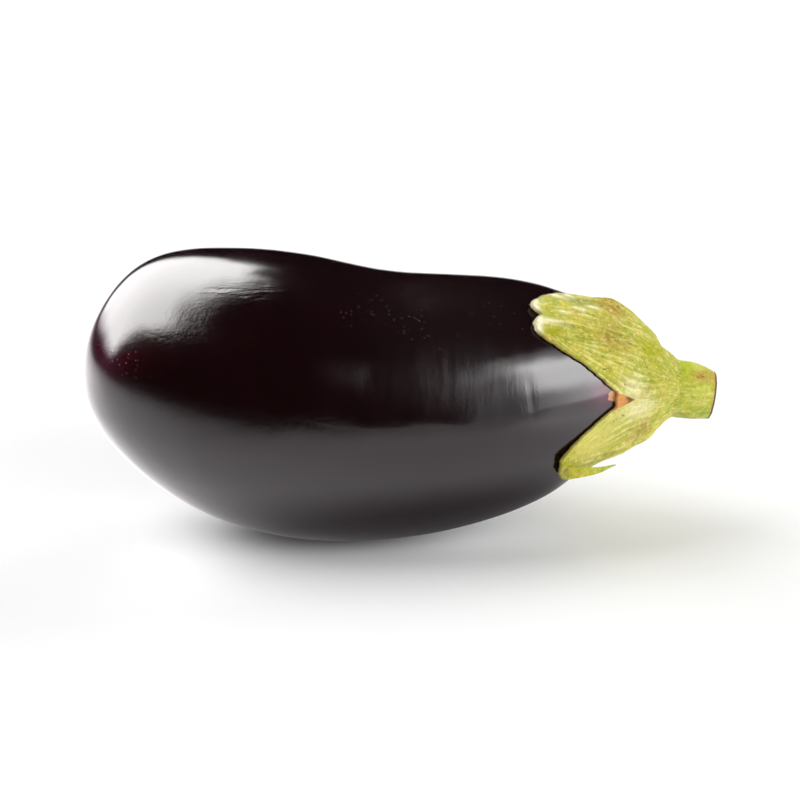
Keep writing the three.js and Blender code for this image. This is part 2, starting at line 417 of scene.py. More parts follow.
SKIN_BLACK = colour(12, 4, 5)
SKIN_RED = colour(52, 6, 14)
SKIN_PLUM = colour(64, 18, 40)
SKIN_PINK = colour(112, 58, 80)
SKIN_DRIED = colour(214, 150, 96)
SKIN_DULL = colour(22, 15, 16)
SKIN_BLOOM_AND_HIGHLIGHT = colour(56, 53, 54)
SKIN_SPECK = colour(170, 132, 138)

# Places where the skin differs: the centre and the reach in millimetres, and the strength.
SKIN_SPOTS = {
    "red": [((-73, -28, 70.5), (11, 12, 5.5))],
    "pink": [((83, -26, 57), (4.6, 6, 4))],
    "dried": [((86.2, -25, 55.6), (2, 2.6, 2.6))],
    "dull": [((36, -20, 80), (34, 24, 18))],
    # Waxy bloom, partly a painted highlight where a faint reflection of the right softbox lies.
    "bloom_and_highlight": [((41, -38, 64.5), (17, 14, 7.5))],
    "brushed": [((45, -37, 62), (26, 14, 8))],
    "scratched": [((-29, -23, 90), (17, 9, 4)), ((-50, -33, 79), (18, 12, 8), 0.5)],
    "rough": [((-52, -34, 76), (26, 20, 14)), ((-12, -46, 58), (45, 20, 7), 0.7)],
    "speckled": [
        ((7, -21, 85), (10, 9, 5)), ((23, -28, 79), (9, 9, 7)), ((48, -21, 81), (9, 9, 5), 0.7),
    ],
}
PORES_PER_METRE = 1250.0

# Thin folds of the skin: the middle and the half sizes, in millimetres, the lean of z
# along x and of x along z, and the height.
CREASES = [
    ((-38, -22.7, 90.6), (3.4, 9, 0.24), 0, 0, -5),
    ((-40, -24, 89.8), (4.2, 9, 0.26), 0, 0, 4),
    ((-31.5, -24.8, 88.9), (1.6, 9, 0.26), 0, 0, -3),
    ((-26.3, -25.7, 88.4), (2.4, 9, 0.28), 0, 0, -2.6),
    ((-24.4, -27.5, 87), (1.5, 9, 0.22), 0, 0, -1.5),
    ((-25, -22.5, 90.2), (8, 9, 0.22), 0, 0, -2),
    ((58.2, -36, 56.5), (0.3, 9, 5), 0, -0.14, 0.7),
    ((61, -35, 60), (0.4, 9, 3.5), 0, -0.1, -0.8),
    ((56.6, -37, 55.5), (0.3, 9, 2.6), 0, -0.35, -0.7),
    ((54.8, -37, 57.5), (0.3, 9, 2.2), 0, -0.2, -0.5),
    ((52, -37, 61), (0.35, 9, 2.5), 0, -0.3, -0.4),
    ((66, -34, 50.6), (13, 12, 0.2), -0.17, 0, -0.25),
]
CREASE_WAVER = 1.2 * MM
SKIN_RELIEF = 0.02  # millimetres


def purple_skin():
    made, nodes, place = new_material("purple skin")
    xyz = nodes.split(place)
    spot = {name: nodes.spots(xyz, spots) for name, spots in SKIN_SPOTS.items()}
    clouds = nodes.noise(place, 70, 3, 0.55)
    blots = nodes.noise(place, 800, 3, 0.65)
    mottle = nodes.noise(place, 520, 4, 0.65)
    pores = nodes.noise(place, 1500, 2, 0.55)
    strokes = nodes.noise(place, (420, 60, 60), 3, 0.6)
    streaks = nodes.noise(place, (260, 1200, 1200), 3, 0.65)

    red = blots.step(0.42, 0.58) * spot["red"]
    blossom_end = xyz[0].step(-0.066, -0.082) * xyz[2].step(0.055, 0.07)
    dried = (spot["dried"] + (mottle - 0.5) * 1.1).step(0.5, 0.7)
    hue = nodes.layers(
        SKIN_BLACK,
        (spot["dull"], SKIN_DULL),
        # Pale waxy bloom, and in part a painted highlight: it lightens the skin under the right
        # softbox's faint reflection.
        (spot["bloom_and_highlight"] * (0.45 + strokes.step(0.35, 0.7)), SKIN_BLOOM_AND_HIGHLIGHT),
        (clouds * 0.12 + red * 0.9, SKIN_RED),
        (blossom_end * clouds * 1.3, SKIN_PLUM),
        (spot["pink"] * 0.75, SKIN_PINK),
        (dried * 0.9, SKIN_DRIED),
        (specks(nodes, place, spot) * 0.7, SKIN_SPECK),
    )
    rough = spot["rough"]
    height = mottle * (0.8 + rough * 4) + pores * (0.15 + rough * 1.6) + clouds * 2
    height = height + streaks * spot["scratched"] * 5 + strokes * spot["brushed"] * 3
    nodes.feed(
        Base_Color=hue,
        Roughness=0.13 + clouds.step(0.4, 0.75) * 0.05,
        Normal=nodes.relief(height + creases(nodes, xyz, mottle), SKIN_RELIEF),
        IOR=1.52,
        Coat_Weight=0.35,
        Coat_Roughness=0.06,
    )
    return made


def specks(nodes, place, spot):
    """Pale pores in a few patches of the skin."""
    sockets = {"Vector": place, "Scale": PORES_PER_METRE}
    cell = nodes.node("ShaderNodeTexVoronoi", sockets).socket.node
    size = Wire(nodes, cell.outputs["Distance"])
    chance = nodes.split(Wire(nodes, cell.outputs["Color"]))[0]
    many = spot["red"] * 0.42 + spot["speckled"].clamp() * 0.2
    pale = (chance + many).step(1.0, 1.04) * (0.48 + spot["red"] * 0.6)
    return size.step(0.3, 0.1) * pale


def creases(nodes, xyz, mottle):
    """The height of the folds, which waver a little along their length."""
    total = 0
    waver = (mottle - 0.5) * CREASE_WAVER
    for middle, sizes, rise, lean, height in CREASES:
        x = xyz[0] - (xyz[2] - middle[2] * MM) * lean + waver
        z = xyz[2] - (xyz[0] - middle[0] * MM) * rise + waver
        total = nodes.near((x, xyz[1], z), middle, sizes, height) + total
    return total


SKIN_SIZES = {
    "Rings": 320,
    "Sides": 290,
    "Blossom Pole": BLOSSOM_POLE_X * MM,
    "Length": (STEM_POLE_X - BLOSSOM_POLE_X) * MM,
    "Swell": 0.5 * MM,
    "Wrinkle": 0.35 * MM,
    "Dent": 0.3 * MM,
}
# Small dents and wrinkles of the skin, on the scale of 1.
SCAR = (78, 120.6, 8, 0.6, -0.3)
SHOULDER_DENTS = [(33, 60, 9, 7, 1.0), (52, 48, 7, 5, 0.7)]
LEAST_SINE = 1e-5  # which keeps the ball's poles from a division by 0


def make_skin():
    """A ball's points moved to the eggplant's skin by its heights and girths."""
    nodes, sizes = new_tree("eggplant body", SKIN_SIZES)
    sockets = {"Segments": sizes["Sides"], "Rings": sizes["Rings"]}
    ball = nodes.node("GeometryNodeMeshUVSphere", sockets)
    x, y, z = nodes.split(nodes.node("GeometryNodeInputPosition"))

    to_degrees = 180 / math.pi
    latitude = nodes.math("ARCCOSINE", z) * to_degrees
    angle = nodes.math("ARCTAN2", y * -1, x) * to_degrees
    ball = keep_field(nodes, ball, "latitude", latitude)
    ball = keep_field(nodes, ball, "angle", angle)

    t = (1 - z) * 0.5
    height = curve(SPINE_HEIGHTS, t, MM)
    slope = curve(slopes(SPINE_HEIGHTS), t, MM)
    half_girth = curve(GIRTHS, t, MM / 2)
    length = sizes["Length"]
    steep = nodes.math("SQRT", length * length + slope * slope)
    sine = nodes.math("MAXIMUM", nodes.math("SQRT", 1 - z * z), LEAST_SINE)
    dips = [dip(nodes, angle, latitude, place) for place in (FLAT_SIDE, SHOULDER_DIP)]
    radius = sine * half_girth + sum(dips) * MM
    up = x / sine * radius
    position = nodes.join(
        sizes["Blossom Pole"] + length * t - slope / steep * up,
        y / sine * radius,
        height + length / steep * up,
    )
    body = roughen(nodes, set_points(nodes, ball, Position=position), sizes)
    x, y, z = nodes.split(nodes.node("GeometryNodeInputPosition"))
    rested = nodes.join(x, y, nodes.math("MAXIMUM", z, 0.0))
    finish_tree(nodes, set_points(nodes, body, Position=rested), purple_skin())
    return grow("eggplant_skin", bpy.data.meshes.new("eggplant_skin"), nodes, SKIN_SIZES)


def dip(nodes, angle, latitude, feature):
    """The height of a raised or sunken place, in millimetres."""
    at_angle, at_latitude, half_angle, half_latitude, height = feature
    off = nodes.math("WRAP", angle - at_angle, 180.0, -180.0) * (1 / half_angle)
    return nodes.bell(off, (latitude - at_latitude) * (1 / half_latitude)) * height


def roughen(nodes, body, sizes):
    """Lays a slow swell, a few wrinkles and one scar over the skin, along its normals."""
    place = nodes.node("GeometryNodeInputPosition")
    latitude = kept_field(nodes, "latitude")
    angle = kept_field(nodes, "angle")
    swell = nodes.noise(place, 45, 2, 0.45) - 0.5
    wrinkled = nodes.noise(place, (70, 300, 300)) - 0.5
    where = sum(dip(nodes, angle, latitude, spot) for spot in SHOULDER_DENTS)
    scar = dip(nodes, angle, latitude, SCAR)
    height = swell * sizes["Swell"] + wrinkled * where * sizes["Wrinkle"] + scar * sizes["Dent"]
    sockets = {"Vector": nodes.node("GeometryNodeInputNormal"), "Scale": height}
    offset = nodes.node("ShaderNodeVectorMath", sockets, operation="SCALE")
    return set_points(nodes, body, Offset=offset)


# ---- Form of the calyx ----

SEPAL_COLUMN = 0.6  # degrees
SEPAL_LEAST_COLUMNS = 14
SEPAL_ROWS = 52
SEPAL_ROW_SPREAD = 1.35  # above 1, the rows lie closer together at the edge
SEPAL_UNDER_ROWS = 12
LIP_ROWS = 4
LIP_BULGE = 0.28
RIB_HEIGHT = 0.36
RIB_DEGREES = 7  # of a sepal's half width to one rib
LEAST_HALF = 3.0  # degrees from a sepal's keel to its margin
# Raised lines along the edge near the tips: height, millimetres from the edge and half width.
LIP_LINES = [(0.38, 0, 0.7), (-0.3, 2.0, 0.9)]
LEAST_THICKNESS = 0.35
TIP_ROUNDING = 2.6  # degrees
TIP_SPREAD = (13, 7)  # degrees of angle and latitude round a tip
WEB_ANGLE = 84.5
WEB_WIDTH = 8
WEB_LENGTH = 5.6
WEB_HALF_WIDTH = 6.2
LIFT_SHARE = 0.5  # of a tip's lift
# Dips and rises of the calyx: angle, latitude, half widths in both, and height.
CALYX_DENTS = [
    (-5, 132.5, 14, 3.5, -1.5), (-6, 140, 20, 3, 0.9), (-12, 161.5, 32, 4, -1.5),
    (28.5, 129, 3, 2.5, 0.6), (22.5, 132.5, 3.5, 2.2, 0.7), (15.5, 135.3, 5, 2, 0.6),
    (141, 146, 9, 3, -0.9), (158, 157, 14, 3.5, 0.9),
]
ROOT_MM = 1.3  # of length to a degree of latitude
ROUND_MM = 0.6  # of length to a degree of angle
# Unevenness of the edge in degrees, and fine lumps in millimetres.
RAGGED_EDGE = [(0.1, 37, 0, 0.3), (0.09, 71, 0, 1.9), (0.06, 113, 0, 4.1), (0.05, 173, 0, 2.2)]
KNOBS = [
    (0.07, 23, 61, 0.4), (0.06, 41, -47, 2.1), (0.05, 59, 83, 5.2), (0.045, 83, -109, 1.2),
    (0.035, 127, 151, 3.3),
]
TONGUE_RINGS = 48
TONGUE_SIDES = 20
TONGUE_CUP = 0.35


def calyx_columns():
    """The calyx's edge: each column's angle and latitude, and the sepal side it is on."""
    sides = []
    for i, sepal in enumerate(SEPALS):
        sides.append(sepal_side(i, SEPALS[i - 1]["valley"], sepal["sweep"][0], True))
        sides.append(sepal_side(i, sepal["valley"], sepal["sweep"][1], False))
    names = "angle latitude tip_angle tip_latitude span drop sweep keel sepal"
    return dict(zip(names.split(), np.concatenate(sides, axis=1)))


def sepal_side(index, valley, sweep, rising):
    """Columns of one side of a sepal, from the valley to the tip if rising."""
    tip_angle, tip_latitude = SEPALS[index]["tip"]
    span = angle_between(valley[0], tip_angle)
    drop = valley[1] - tip_latitude
    count = max(SEPAL_LEAST_COLUMNS, round(abs(span) / SEPAL_COLUMN))
    away = np.arange(count) / count
    away = 1 - away if rising else away
    waver = EDGE_WAVE * min(1, abs(span) / WIDE_SIDE) ** 2
    wave = waver * np.sin(2 * np.pi * EDGE_WAVES * away)
    angle = tip_angle + span * away
    rounding = TIP_ROUNDING / abs(span)
    rounded = (np.hypot(away, rounding) - rounding) / (math.hypot(1, rounding) - rounding)
    latitude = tip_latitude + drop * rounded**sweep - wave + bump(EDGE_BEND, angle, 0)
    in_notch = np.abs(angle_between(angle, WEB_ANGLE)) < WEB_WIDTH
    latitude = np.where(in_notch, np.minimum(latitude, NOTCH_END), latitude)
    keel = SEPALS[index]["keel"]
    numbers = (angle, latitude, tip_angle, tip_latitude, span, drop, sweep, keel, index)
    return [np.zeros(count) + number for number in numbers]


def keel_line(tip_angle, tip_latitude, keel, latitude):
    way = np.maximum(0, (latitude - tip_latitude) / (180 - tip_latitude))
    return way, keel + angle_between(tip_angle, keel) * (1 - way) ** KEEL_BEND


def keel_height(sepal, angle, latitude):
    way, line = keel_line(*sepal["tip"], sepal["keel"], latitude)
    off = angle_between(angle, line) / KEEL_ANGLE
    run = (way - KEEL_PEAK) / KEEL_RUN
    return KEEL_HEIGHT * np.exp(-run * run - off * off)


def root_lift(angle, latitude):
    """How far the calyx stands off the fruit, a little more under its tips."""
    total = 0
    for sepal in SEPALS:
        feature = (*sepal["tip"], LIFT_ANGLE, LIFT_LATITUDE, sepal["lift"])
        total = total + bump(feature, angle, np.maximum(latitude, sepal["tip"][1]))
    return GAP + LIFT_SHARE * total


def rib_share(edge, angle, latitude):
    """How far across its half of a sepal a place is, from the keel's line to the margin."""
    fall = np.clip((latitude - edge["tip_latitude"]) / edge["drop"], 0, 1)
    margin = edge["tip_angle"] + edge["span"] * fall ** (1 / edge["sweep"])
    _, line = keel_line(edge["tip_angle"], edge["tip_latitude"], edge["keel"], latitude)
    half = angle_between(margin, line)
    least = np.where(edge["span"] < 0, -LEAST_HALF, LEAST_HALF)
    half = np.where(np.abs(half) < LEAST_HALF, least, half)
    return np.clip(angle_between(angle, line) / half, -1, 1)


def calyx_form(edge, way):
    """Latitudes, thickness and the numbers that the material reads, row by row."""
    way = way[:, None]
    angle = edge["angle"][None, :] + 0 * way
    latitude = edge["latitude"] + (180 - edge["latitude"]) * way
    inside = 1 - np.exp(-way / EDGE_RUN)
    body = BODY_THICKNESS - (BODY_THICKNESS - EDGE_THICKNESS) * (1 - inside)
    keels = sum(keel_height(sepal, angle, latitude) for sepal in SEPALS)
    marks = sum(bump(mark, angle, latitude) for mark in (HOLLOW, CREASE, TUCK, *CALYX_DENTS))
    share = rib_share(edge, angle, latitude)
    half = np.abs(angle_between(edge["tip_angle"] + edge["span"], edge["keel"]))
    count = np.maximum(2, np.round(half / RIB_DEGREES))
    wander = 0.12 * np.sin(latitude * 0.31 + edge["sepal"])
    wander = wander + 0.07 * np.sin(latitude * 0.83 + angle * 0.1)
    rib = np.cos(2 * np.pi * (count * share + wander * share))
    rib = rib * ((1 - share**6) * (1 - way) ** 0.8)
    margin = edge_distance(edge, latitude)
    tips = sum(bump((*sepal["tip"], *TIP_SPREAD, 1.0), angle, latitude) for sepal in SEPALS)
    lip = sum(
        height * np.exp(-(((margin - off) / half_width) ** 2)) * np.minimum(tips, 1)
        for height, off, half_width in LIP_LINES
    )
    knobs = waves(KNOBS, np.radians(angle), np.radians(latitude))
    thickness = body + (keels + marks) * inside + RIB_HEIGHT * rib * inside
    thickness = thickness + lip + knobs * inside * (1 - way) ** 0.5
    form = dict(
        angle=angle,
        latitude=latitude,
        thickness=np.maximum(thickness, LEAST_THICKNESS),
        rib=rib,
        share=share * count,
        margin=margin,
        web=notch_web(angle, latitude),
    )
    for name, spots in SEPAL_SPOTS.items():
        form[name] = np.clip(sum(bump(spot, angle, latitude) for spot in spots), 0, 1)
    return form


def notch_web(angle, latitude):
    """1 on the dried web that fills the widest notch and ends in a point."""
    along = (latitude - NOTCH_END) / WEB_LENGTH
    half = WEB_HALF_WIDTH * np.maximum(1 - along, 0) ** 0.9
    off = np.abs(angle_between(angle, WEB_ANGLE + 1))
    return np.clip((half - off) / 2 + 0.5, 0, 1) * (along < 1.05) * (along > -0.2)


def edge_distance(edge, latitude):
    """Millimetres in from the calyx's edge, square to the edge."""
    rise = np.gradient(edge["latitude"]) * ROOT_MM
    turn = np.abs(np.gradient(np.unwrap(edge["angle"], period=360)))
    turn = np.maximum(turn, 0.05) * ROUND_MM
    lean = turn / np.hypot(rise, turn)
    return (latitude - edge["latitude"]) * ROOT_MM * np.maximum(lean, 0.35)


def calyx_points(form, share=1.0, out=0.0):
    """Points at a share of the calyx's thickness, moved out past its edge by degrees."""
    angle, latitude = form["angle"], form["latitude"]
    lift = root_lift(angle, latitude) + form["thickness"] * share
    return fruit_point(latitude - out, angle, lift, NECK_RADIUS)


def make_sepals():
    edge = calyx_columns()
    wide = np.minimum(1, np.abs(edge["span"]) / WIDE_SIDE)
    edge["latitude"] = edge["latitude"] + waves(RAGGED_EDGE, np.radians(edge["angle"])) * wide
    over = calyx_form(edge, np.linspace(0, 1, SEPAL_ROWS) ** SEPAL_ROW_SPREAD)
    rim = {name: values[:1] for name, values in over.items()}

    under_way = 1 - (np.arange(SEPAL_UNDER_ROWS) + 1) / SEPAL_UNDER_ROWS
    under_latitude = edge["latitude"] + (180 - edge["latitude"]) * under_way[:, None]
    under_angle = edge["angle"] + 0 * under_latitude
    under = fruit_point(under_latitude, under_angle, root_lift(under_angle, under_latitude))

    turns = np.linspace(0, math.pi, LIP_ROWS + 2)[1:-1]
    lip = [
        calyx_points(rim, (1 - math.cos(turn)) / 2, LIP_BULGE * math.sin(turn)) for turn in turns
    ]
    rows = np.concatenate([under, *lip, calyx_points(over)])
    sides = rows.shape[1]
    start = fruit_point(180, 0, GAP)
    end = fruit_point(180, 0, GAP + BODY_THICKNESS)
    points, faces = closed_body(start, rows, end)
    tongue, tongue_faces = tongue_body(len(points))
    points = np.concatenate([points, tongue])
    piece = mesh_object("sepals", points, faces + tongue_faces, sepal_green())

    def keep(name, under_value, lip_value, tongue_value):
        low = np.full((SEPAL_UNDER_ROWS + LIP_ROWS, sides), under_value, float)
        low[SEPAL_UNDER_ROWS:] = lip_value
        top = over[name]
        ends = [[under_value], low.ravel(), top.ravel(), [top[-1, 0]]]
        values = [*ends, np.full(len(tongue), tongue_value, float)]
        store(piece.data, name, np.concatenate(values))

    keep("margin", 4, 0, 3)
    keep("latitude", 150, edge["latitude"], 125)
    for name in ("rib", "share"):
        keep(name, 0, 0, 0)
    for name in ("web", *SEPAL_SPOTS):
        keep(name, 0, over[name][0], 0)
    under_stem = range(1 + (len(rows) - 1) * sides, 1 + len(rows) * sides)
    for edge in piece.data.edges:
        if all(point in under_stem for point in edge.vertices):
            edge.use_edge_sharp = True
    return piece


def tongue_body(first):
    """The third sepal's tip, curling back as a thin tapering ribbon."""
    path = np.array(TONGUE_PATH, float)
    chord = np.concatenate([[0], np.cumsum(np.linalg.norm(np.diff(path, axis=0), axis=1))])
    reach = np.linspace(0, 1, TONGUE_RINGS)
    fits = [np.polyfit(chord / chord[-1], path[:, k], 4) for k in range(3)]
    centre = np.stack([np.polyval(fit, reach) for fit in fits], -1)
    along = np.stack([np.polyval(np.polyder(fit), reach) for fit in fits], -1)
    along /= np.linalg.norm(along, axis=1, keepdims=True)
    across = TONGUE_ACROSS - along * (along @ TONGUE_ACROSS)[:, None]
    across /= np.linalg.norm(across, axis=1, keepdims=True)
    flat = np.cross(along, across)
    width = TONGUE_WIDTH + (TONGUE_TIP_WIDTH - TONGUE_WIDTH) * reach
    thick = TONGUE_THICKNESS + (TONGUE_TIP_WIDTH - TONGUE_THICKNESS) * reach
    turn = np.linspace(0, 2 * np.pi, TONGUE_SIDES, endpoint=False)
    cup = TONGUE_CUP * (1 - reach)[:, None] * np.cos(2 * turn)
    rings = (
        centre[:, None]
        + across[:, None] * (np.cos(turn) * width[:, None] / 2)[..., None]
        + flat[:, None] * (np.sin(turn) * thick[:, None] / 2 + cup)[..., None]
    )
    return closed_body(centre[0], rings, centre[-1], first)


# ---- Colours of the calyx ----

FRESH_YELLOW = colour(200, 190, 72)
FRESH_GREEN = colour(168, 174, 48)
FRESH_DEEP = colour(112, 120, 26)
FRESH_PALE = colour(236, 229, 152)
FRESH_TAN = colour(206, 160, 80)
SEPAL_LIME = colour(172, 170, 0)
SEPAL_TAN = colour(164, 132, 38)
SEPAL_GREY_SHADE = colour(142, 145, 66)
SEPAL_PLAIN = colour(218, 208, 112)
SEPAL_CREAM = colour(252, 247, 206)
SEPAL_RUST = colour(160, 84, 40)
SEPAL_UMBER = colour(88, 56, 22)
WEB_ORANGE = colour(216, 150, 84)
WEB_BROWN = colour(126, 70, 26)
SEPAL_RELIEF = 0.25
STEM_RELIEF = 0.12
# What the calyx and the stem share, under their colours.
FLESHY = dict(
    IOR=1.42,
    Subsurface_Weight=0.08,
    Subsurface_Radius=(0.0015, 0.002, 0.0006),
    Subsurface_Scale=1.0,
    Sheen_Weight=0.12,
    Sheen_Roughness=0.5,
    Sheen_Tint=colour(240, 240, 190),
)

# Where the sepals are coloured apart: angle, latitude, half widths and strength.
SEPAL_SPOTS = {
    "rust": [
        (48, 152, 9, 4, 0.5), (128, 149, 4, 2, 0.5), (204, 148, 20, 6, 0.3),
        (238, 144.5, 7, 2.2, 1.0), (172, 145, 7, 2.2, 0.9), (316, 146.5, 7, 2.2, 0.8),
    ],
    "tan": [
        (41, 140, 9, 5, 1.0), (5, 140.5, 15, 4, 1.1), (122, 151, 9, 4.5, 0.9),
        (112, 153, 7, 4, 0.5), (272, 138, 14, 6, 0.8), (205, 136, 12, 6, 0.8),
        (140, 140, 12, 6, 0.5), (85, 147.5, 4, 3, 0.7),
    ],
    "lime": [
        (36, 151.5, 9, 4, 1.1), (30, 156.5, 12, 4, 0.8), (55, 156, 9, 4, 0.6),
        (28.8, 125.8, 2.2, 3.2, 1.2), (43, 125.9, 2.6, 2.2, 1.2), (119, 126.8, 7, 3, 1.2),
        (300, 152, 24, 8, 0.7), (210, 155, 20, 7, 0.7),
    ],
    "plain": [(112, 137, 13, 8, 1.0), (104, 134, 8, 5, 0.6), (90, 146, 7, 3, 0.6)],
    # A duller grey tone, and painted shade in the hollow and the crease near the first two
    # sepals' tips.
    "grey_and_hollow_shade": [(12.5, 133.2, 6, 3.4, 1.3), (38, 129, 2, 3, 0.7), (131, 133, 9, 4, 0.4)],
    "cream": [
        (29, 128.8, 1.2, 1.6, 0.6), (23.5, 132.5, 1.3, 1.6, 0.8), (17, 135.8, 1.6, 1.3, 0.8),
        (12, 127.2, 2.6, 2.6, 0.9), (6, 130.8, 3, 1.2, 0.9), (25.7, 122.8, 6, 1.3, 1.6),
        (40.3, 122.8, 4.5, 1.2, 1.6), (36, 124.5, 2, 3.5, 0.7), (75, 147, 8, 4, 0.4),
        (94, 150, 10, 7, 0.4),
    ],
}


def fresh_green(nodes, place, fibres):
    """The mottled yellow green of the calyx and the stem, streaked along their fibres."""
    clouds = nodes.noise(place, 150, 3, 0.6)
    blotch = nodes.noise(place, 330, 2, 0.55)
    return nodes.layers(
        FRESH_YELLOW,
        (clouds.step(0.38, 0.62), FRESH_GREEN),
        (blotch.step(0.54, 0.72) * 0.6, FRESH_TAN),
        (fibres.step(0.5, 0.66) * 0.8, FRESH_PALE),
        (fibres.step(0.46, 0.32) * 0.62, FRESH_DEEP),
    )


def flecked(nodes, place, hue):
    """Lays fine pale and dark flecks over a colour."""
    flecks = nodes.noise(place, 620, 3, 0.75)
    return nodes.layers(
        hue,
        (flecks.step(0.52, 0.66) * 0.55, FRESH_PALE),
        (flecks.step(0.47, 0.33) * 0.5, FRESH_DEEP),
    )


def sepal_green():
    made, nodes, place = new_material("sepal green")
    kept = nodes.kept
    latitude = kept("latitude")
    share = kept("share")
    fine = nodes.noise(nodes.join(share * 7, latitude * 0.3, 0), 1, 4, 0.65)
    broad = nodes.noise(nodes.join(share * 1.9, latitude * 0.16, 4), 1)
    fibres = fine * 0.42 + broad * 0.58 + kept("rib") * 0.07
    grain = nodes.noise(place, 1100, 3, 0.6)
    blotch = nodes.noise(place, 420)
    patchy = (grain * 0.5 + blotch * 0.5).step(0.3, 0.6)
    rust = kept("rust")
    pits = (nodes.noise(place, 640) + rust * 0.12).step(0.66, 0.76)
    web = (kept("web") + (grain - 0.5) * 0.5).step(0.4, 0.6)
    dried = (latitude * 0.18 + blotch).step(26.3, 26.8)  # past about 145 degrees

    hue = nodes.layers(
        fresh_green(nodes, place, fibres),
        (kept("lime") * (0.75 + patchy * 0.4), SEPAL_LIME),
        (kept("tan") * patchy * 1.15, SEPAL_TAN),
        # Partly painted shade: grey darkens the hollow and the crease near the first tips.
        (kept("grey_and_hollow_shade") * (0.65 + patchy * 0.5), SEPAL_GREY_SHADE),
    )
    hue = nodes.layers(
        flecked(nodes, place, hue),
        (kept("plain") * 0.62, SEPAL_PLAIN),
        (kept("cream") * (0.6 + patchy * 0.8), SEPAL_CREAM),
        ((rust + (grain - 0.5) * 1.6).step(0.6, 0.9) * 0.8, SEPAL_RUST),
        (pits * 0.7, SEPAL_UMBER),
        (web, nodes.layers(WEB_ORANGE, (dried, WEB_BROWN))),
        (kept("margin").step(0.45, 0.05) * 0.5, SEPAL_UMBER),
    )
    nodes.feed(
        Base_Color=hue,
        Roughness=0.5 + grain * 0.2,
        Normal=nodes.relief(fibres * 1.6 + grain * 0.6 + blotch * 0.8, SEPAL_RELIEF),
        **FLESHY,
    )
    return made


# ---- Stem ----

STEM_RINGS = 40
STEM_SIDES = 150
STEM_SUNK = 1.6  # how far the stem reaches back into the calyx
STEM_INSET = 0.06
STEM_DROOP = 1.0  # of the cut end, below a straight stem
STEM_FLUTES = [
    (0.09, 9, 0.8, 0.7), (0.08, 14, 0.8, 2.9), (0.05, 23, 0.8, 4.4), (0.03, 37, 0.8, 1.1),
]
BEVEL_START = 0.93  # of the stem's length
BEVEL_RINGS = 6
PITH_DISH = 0.5
PITH_RIPPLE = 0.12
PITH_RINGS = (0.98, 0.95, 0.92, 0.88, 0.82, 0.7, 0.55, 0.4, 0.25, 0.1)  # of the cut's radius

STEM_GREEN = colour(176, 190, 76)
STEM_LIME = colour(172, 186, 30)
STEM_DARK = colour(112, 134, 34)
STEM_TAN = colour(184, 150, 60)
STEM_BROWN = colour(92, 58, 40)
STEM_PITH = colour(214, 208, 158)
STEM_SCAR = ((118, -7, 56.2), (4.5, 5, 1.5), 1.3)


def side_radius(u):
    """The stem's radius at a share of its length."""
    taper = NECK_RADIUS + (STEM_CUT_RADIUS - NECK_RADIUS) * u
    return taper + STEM_SWELL * math.sin(math.pi * max(u, 0))


def make_stem():
    base = spine_at(np.array(180.0))
    seam = base["point"] + base["along"] * (2 * GAP + BODY_THICKNESS)
    angle = np.arange(STEM_SIDES) * 360 / STEM_SIDES
    phi = np.radians(angle)
    rings, cuts = [], []

    def ring(u, radius, cut, sink=0.0):
        """A ring at a share of the length. The cut is 0 on the bark and grows from its rim."""
        along = max(u, 0)
        ridges = STEM_RIDGE_HEIGHT * math.sin(math.pi * along) * np.cos(phi * STEM_RIDGES)
        flutes = min(1, along * 2) * waves(STEM_FLUTES, phi, u)
        reach = radius + (ridges + flutes) * (radius / NECK_RADIUS)
        lean = math.tan(math.radians(CUT_TILT)) * u
        shift = STEM_LENGTH * u + reach * np.cos(phi) * lean - sink
        rings.append(
            seam
            - np.array([0, 0, STEM_DROOP * along**2])
            + base["along"] * shift[:, None]
            + outward(base["pitch"] + 0 * angle, angle) * reach[:, None]
        )
        cuts.append(np.full(STEM_SIDES, cut, float))

    for u in np.linspace(-STEM_SUNK / STEM_LENGTH, BEVEL_START, STEM_RINGS):
        ring(u, min(side_radius(u), NECK_RADIUS) - STEM_INSET, 0)
    end_radius = side_radius(BEVEL_START)
    for i in range(BEVEL_RINGS):
        turn = math.pi / 2 * (i + 1) / BEVEL_RINGS
        u = BEVEL_START + (1 - BEVEL_START) * math.sin(turn)
        ring(u, end_radius - CUT_BEVEL * (1 - math.cos(turn)) * 0.9, 0.5)
    for share in PITH_RINGS:
        depth = PITH_DISH * (1 - share**4) + PITH_RIPPLE * math.sin(share * 40)
        ring(1.0, (end_radius - CUT_BEVEL) * share, 2 - share, depth)

    centre = seam + base["along"] * (STEM_LENGTH - PITH_DISH) - np.array([0, 0, STEM_DROOP])
    inner = seam - base["along"] * STEM_SUNK
    points, faces = closed_body(inner, np.array(rings), centre)
    piece = mesh_object("stem_stub", points, faces, stem_green())
    store(piece.data, "cut", np.concatenate([[0], *cuts, [2.0]]))
    return piece


